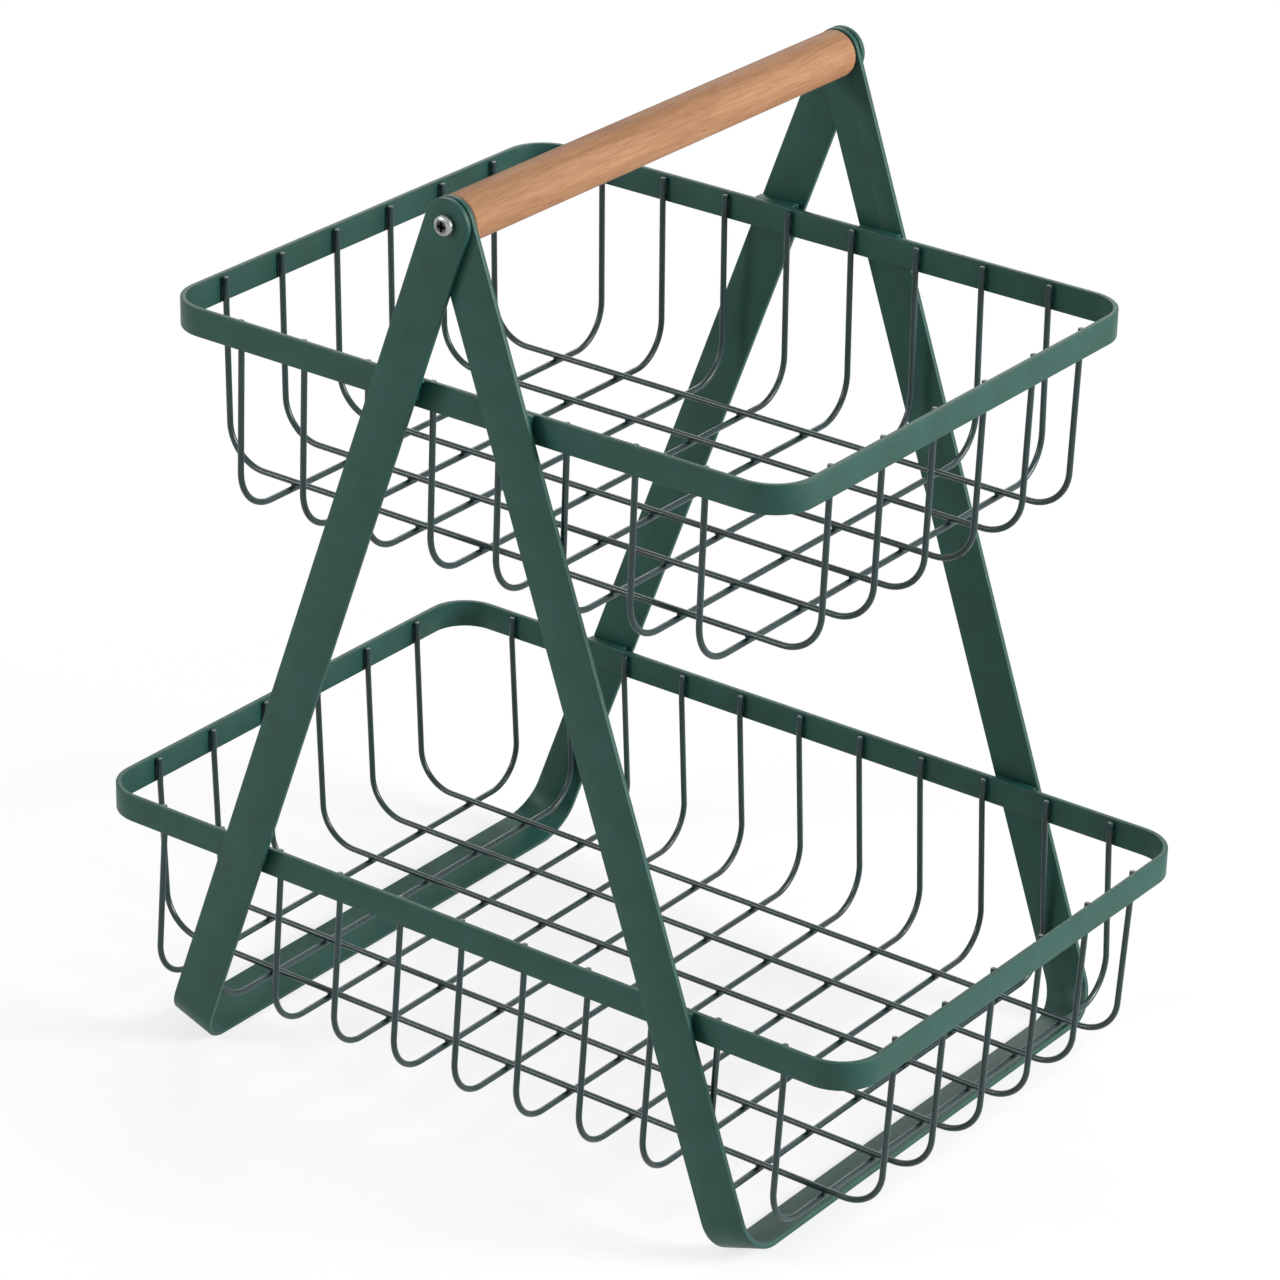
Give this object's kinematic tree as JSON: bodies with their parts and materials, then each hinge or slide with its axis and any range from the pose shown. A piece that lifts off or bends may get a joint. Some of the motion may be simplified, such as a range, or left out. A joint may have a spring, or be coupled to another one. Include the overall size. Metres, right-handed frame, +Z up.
{
  "type": "onion rack",
  "caption": "Two-tier A-frame kitchen rack: two flat-bar bails pinned at a round wooden grip carry an upper and a longer lower lift-off wire basket",
  "frame": {"origin": "middle of the bounding box at the level the feet stand on", "axes": "Z up; X along the length of the baskets, with the left bail at -X; Y along the grip, with the near end, seen in the picture, at -Y"},
  "size_m": [0.325, 0.2268, 0.35],
  "materials": {
    "frame_coat": "dark green fine powder coat, low sheen",
    "wire_coat": "dark grey-green fine powder coat on wire",
    "grip_wood": "light turned hardwood, thin clear coat",
    "screw_zinc": "bright zinc plate"
  },
  "bodies": {
    "left_frame": {"left_leg_near": "frame_coat", "left_leg_rear": "frame_coat", "left_foot": "frame_coat", "grip": "grip_wood", "screw_near": "screw_zinc", "screw_rear": "screw_zinc", "upper_keeper_left_near": "frame_coat", "upper_keeper_left_rear": "frame_coat", "lower_keeper_left_near": "frame_coat", "lower_keeper_left_rear": "frame_coat"},
    "right_frame": {"right_leg_near": "frame_coat", "right_leg_rear": "frame_coat", "right_foot": "frame_coat", "upper_keeper_right_near": "frame_coat", "upper_keeper_right_rear": "frame_coat", "lower_keeper_right_near": "frame_coat", "lower_keeper_right_rear": "frame_coat"},
    "upper_basket": {"upper_rim": "frame_coat", "upper_cross_wire_1": "wire_coat", "upper_cross_wire_2": "wire_coat", "upper_cross_wire_3": "wire_coat", "upper_cross_wire_4": "wire_coat", "upper_cross_wire_5": "wire_coat", "upper_cross_wire_6": "wire_coat", "upper_cross_wire_7": "wire_coat", "upper_cross_wire_8": "wire_coat", "upper_long_wire_1": "wire_coat", "upper_long_wire_2": "wire_coat", "upper_long_wire_3": "wire_coat", "upper_long_wire_4": "wire_coat", "upper_long_wire_5": "wire_coat", "upper_long_wire_6": "wire_coat", "upper_hook_left_near": "frame_coat", "upper_hook_left_rear": "frame_coat", "upper_hook_right_near": "frame_coat", "upper_hook_right_rear": "frame_coat"},
    "lower_basket": {"lower_rim": "frame_coat", "lower_cross_wire_1": "wire_coat", "lower_cross_wire_2": "wire_coat", "lower_cross_wire_3": "wire_coat", "lower_cross_wire_4": "wire_coat", "lower_cross_wire_5": "wire_coat", "lower_cross_wire_6": "wire_coat", "lower_cross_wire_7": "wire_coat", "lower_cross_wire_8": "wire_coat", "lower_cross_wire_9": "wire_coat", "lower_cross_wire_10": "wire_coat", "lower_cross_wire_11": "wire_coat", "lower_long_wire_1": "wire_coat", "lower_long_wire_2": "wire_coat", "lower_long_wire_3": "wire_coat", "lower_long_wire_4": "wire_coat", "lower_long_wire_5": "wire_coat", "lower_long_wire_6": "wire_coat", "lower_hook_left_near": "frame_coat", "lower_hook_left_rear": "frame_coat", "lower_hook_right_near": "frame_coat", "lower_hook_right_rear": "frame_coat"}
  },
  "joints": [
    {"name": "frame_fold", "type": "hinge", "parent": "left_frame", "child": "right_frame", "pos_m": [0, 0, 0.34128], "axis": [0, 1, 0], "range_deg": [0, 19.5]},
    {"name": "upper_lift", "type": "slide", "parent": "left_frame", "child": "upper_basket", "axis": [0, 0, 1], "range_m": [0, 0.04]},
    {"name": "lower_lift", "type": "slide", "parent": "left_frame", "child": "lower_basket", "axis": [0, 0, 1], "range_m": [0, 0.05]}
  ]
}
